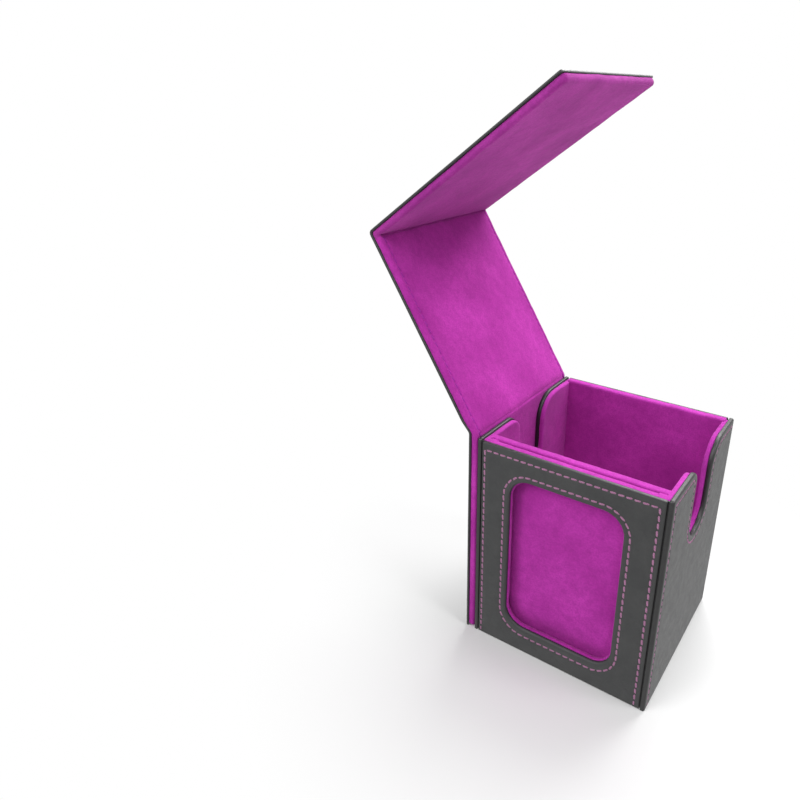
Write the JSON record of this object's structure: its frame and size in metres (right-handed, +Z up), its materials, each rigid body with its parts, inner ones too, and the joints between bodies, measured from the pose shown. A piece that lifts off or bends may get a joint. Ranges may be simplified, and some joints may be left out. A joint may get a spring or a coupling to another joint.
{
  "type": "card storage box",
  "caption": "Upright box for a deck of cards in black leather and purple suede, with a windowed display slot in front and a cover that wraps over the top and down one side.",
  "frame": {"origin": "on the floor under the middle of the box's four walls", "axes": "+X from the glued cover panel towards the wall that the flap covers, +Y from the windowed front to the back, +Z up"},
  "size_m": [0.1367, 0.0822, 0.2394],
  "materials": {
    "leather": "matt black grained, with matching purple stitches",
    "suede": "purple napped suede",
    "greyboard": "raw grey board",
    "magnet_steel": "nickel plated"
  },
  "bodies": {
    "root": {"front_leather": "leather", "front_board": "greyboard", "front_suede": "suede", "slot_spacer_left": "greyboard", "slot_spacer_right": "greyboard", "inner_front_board": "greyboard", "inner_front_suede": "suede", "back_leather": "leather", "back_board": "greyboard", "back_suede": "suede", "bottom_leather": "leather", "bottom_board": "greyboard", "bottom_suede": "suede", "left_side_leather": "leather", "left_side_board": "greyboard", "left_side_suede": "suede", "right_side_leather": "leather", "right_side_board": "greyboard", "right_side_suede": "suede", "wall_magnet_front": "magnet_steel", "wall_magnet_back": "magnet_steel", "cover_side_leather": "leather", "cover_side_board": "greyboard", "cover_side_suede": "suede", "hinge_leather": "leather", "hinge_suede": "suede"},
    "lid": {"lid_leather": "leather", "lid_board": "greyboard", "lid_suede": "suede", "fold_leather": "leather", "fold_suede": "suede"},
    "flap": {"flap_leather": "leather", "flap_board": "greyboard", "flap_suede": "suede", "flap_magnet_front": "magnet_steel", "flap_magnet_back": "magnet_steel"}
  },
  "joints": [
    {"name": "lid_hinge", "type": "hinge", "parent": "root", "child": "lid", "pos_m": [-0.0454, 0, 0.1026], "axis": [0, -1, 0], "range_deg": [-122.7, 57.3]},
    {"name": "flap_hinge", "type": "hinge", "parent": "lid", "child": "flap", "pos_m": [-0.09467, 0, 0.17935], "axis": [0, -1, 0], "range_deg": [-3.5, 86.5]}
  ]
}
